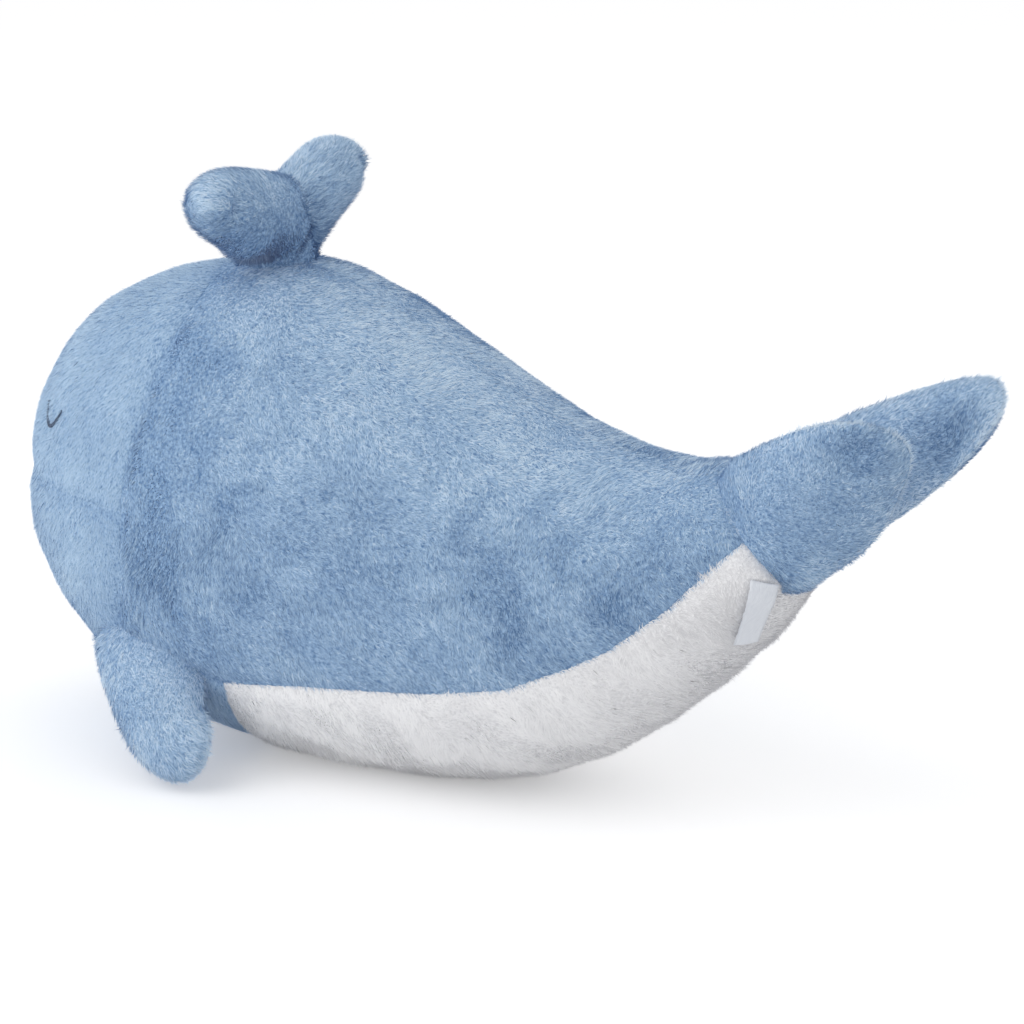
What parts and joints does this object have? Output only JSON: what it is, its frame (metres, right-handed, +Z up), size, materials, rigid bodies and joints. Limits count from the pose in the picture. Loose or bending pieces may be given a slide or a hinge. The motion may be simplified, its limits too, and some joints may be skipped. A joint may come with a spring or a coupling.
{
  "type": "rocking whale toy",
  "caption": "Plush whale that rocks on its rounded white belly, with a two-lobed spout to hold, short flippers and raised tail flukes.",
  "frame": {"origin": "floor level, under the middle of the length, on the plane of symmetry", "axes": "+X towards the tail, so the head points along -X; +Y towards the whale's right; +Z up"},
  "size_m": [0.855, 0.382, 0.4958],
  "materials": {
    "blue_plush": "dense short-pile plush, mottled where the nap is brushed",
    "white_plush": "dense short-pile plush",
    "stuffing": "loose polyester fibre",
    "foam": "cut foam block",
    "plywood": "sanded birch plywood",
    "screw": "zinc-plated wood screw",
    "eye_thread": "satin-stitched thread",
    "satin": "folded satin ribbon, bare"
  },
  "bodies": {
    "torso": {"face_panel": "blue_plush", "chin_panel": "blue_plush", "spout_stem_cover": "blue_plush", "left_side_panel": "blue_plush", "right_side_panel": "blue_plush", "belly_panel": "white_plush", "head_stuffing": "stuffing", "tail_stuffing": "stuffing", "core_stuffing": "stuffing", "spout_stem_stuffing": "stuffing", "left_flank_stuffing": "stuffing", "right_flank_stuffing": "stuffing", "saddle_foam": "foam", "left_rocker_board": "plywood", "right_rocker_board": "plywood", "deck_board": "plywood", "front_rail": "plywood", "middle_rail": "plywood", "rear_rail": "plywood", "left_front_rail_screw": "screw", "left_middle_rail_screw": "screw", "left_rear_rail_screw": "screw", "left_front_deck_screw": "screw", "left_rear_deck_screw": "screw", "right_front_rail_screw": "screw", "right_middle_rail_screw": "screw", "right_rear_rail_screw": "screw", "right_front_deck_screw": "screw", "right_rear_deck_screw": "screw", "left_eye": "eye_thread", "right_eye": "eye_thread"},
    "left_flipper": {"left_flipper_cover": "blue_plush", "left_flipper_stuffing": "stuffing"},
    "right_flipper": {"right_flipper_cover": "blue_plush", "right_flipper_stuffing": "stuffing"},
    "left_fluke": {"left_fluke_cover": "blue_plush", "left_fluke_stuffing": "stuffing"},
    "right_fluke": {"right_fluke_cover": "blue_plush", "right_fluke_stuffing": "stuffing"},
    "left_spout_lobe": {"left_spout_lobe_cover": "blue_plush", "left_spout_lobe_stuffing": "stuffing"},
    "right_spout_lobe": {"right_spout_lobe_cover": "blue_plush", "right_spout_lobe_stuffing": "stuffing"},
    "tab": {"sewn_tab": "satin"}
  },
  "joints": [
    {"name": "left_flipper_bend", "type": "hinge", "parent": "torso", "child": "left_flipper", "pos_m": [-0.21195, -0.14105, 0.0895], "axis": [-1, 0, 0], "range_deg": [-5, 22], "stiffness_Nm_per_rad": 4},
    {"name": "right_flipper_bend", "type": "hinge", "parent": "torso", "child": "right_flipper", "pos_m": [-0.21195, 0.14105, 0.0895], "axis": [1, 0, 0], "range_deg": [-5, 22], "stiffness_Nm_per_rad": 4},
    {"name": "left_fluke_bend", "type": "hinge", "parent": "torso", "child": "left_fluke", "pos_m": [0.28794, -0.031, 0.2493], "axis": [0.6691, 0, -0.7431], "range_deg": [-10, 14], "stiffness_Nm_per_rad": 5},
    {"name": "right_fluke_bend", "type": "hinge", "parent": "torso", "child": "right_fluke", "pos_m": [0.28794, 0.031, 0.2493], "axis": [-0.6691, 0, 0.7431], "range_deg": [-10, 14], "stiffness_Nm_per_rad": 5},
    {"name": "left_spout_lobe_bend", "type": "hinge", "parent": "torso", "child": "left_spout_lobe", "pos_m": [-0.18495, -0.012, 0.4404], "axis": [-1, 0, 0], "range_deg": [-14, 16], "stiffness_Nm_per_rad": 6},
    {"name": "right_spout_lobe_bend", "type": "hinge", "parent": "torso", "child": "right_spout_lobe", "pos_m": [-0.18495, 0.012, 0.4404], "axis": [1, 0, 0], "range_deg": [-14, 16], "stiffness_Nm_per_rad": 6},
    {"name": "tab_flap", "type": "hinge", "parent": "torso", "child": "tab", "pos_m": [0.30525, -0.0676, 0.22262], "axis": [-0.8232, -0.5286, 0.2071], "range_deg": [0, 70], "stiffness_Nm_per_rad": 0.02}
  ]
}
